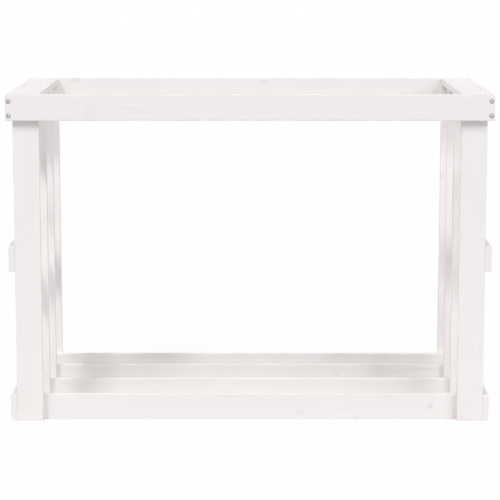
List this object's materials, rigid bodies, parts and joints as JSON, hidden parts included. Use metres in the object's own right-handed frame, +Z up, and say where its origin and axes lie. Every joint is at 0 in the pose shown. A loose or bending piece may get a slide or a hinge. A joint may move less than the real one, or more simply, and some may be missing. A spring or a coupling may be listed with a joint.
{
  "type": "outdoor log store",
  "caption": "Open rectangular rack of slim painted pine boards on edge, with posts down both ends, base rails and no roof or back, for stacking split logs off the ground.",
  "frame": {"origin": "middle of the footprint, on the floor that the posts stand on", "axes": "+X along the front towards the right end seen from the front, +Y from front to back, +Z up"},
  "size_m": [1.0824, 0.5224, 0.74],
  "materials": {
    "white_painted_pine": "satin white paint on planed pine, faint grain and knots",
    "screw_steel": "dull zinc-plated steel"
  },
  "bodies": {
    "root": {"front_top_rail": "white_painted_pine", "rear_top_rail": "white_painted_pine", "left_cap_board": "white_painted_pine", "right_cap_board": "white_painted_pine", "left_post_1": "white_painted_pine", "left_post_2": "white_painted_pine", "left_post_3": "white_painted_pine", "left_post_4": "white_painted_pine", "right_post_1": "white_painted_pine", "right_post_2": "white_painted_pine", "right_post_3": "white_painted_pine", "right_post_4": "white_painted_pine", "left_top_board": "white_painted_pine", "left_middle_board": "white_painted_pine", "left_bottom_board": "white_painted_pine", "right_top_board": "white_painted_pine", "right_middle_board": "white_painted_pine", "right_bottom_board": "white_painted_pine", "base_rail_1": "white_painted_pine", "base_rail_2": "white_painted_pine", "base_rail_3": "white_painted_pine", "base_rail_4": "white_painted_pine", "front_rail_screws": "screw_steel", "rear_rail_screws": "screw_steel", "left_side_screws": "screw_steel", "right_side_screws": "screw_steel", "left_cap_screws": "screw_steel", "right_cap_screws": "screw_steel", "base_rail_screws": "screw_steel"}
  },
  "joints": []
}
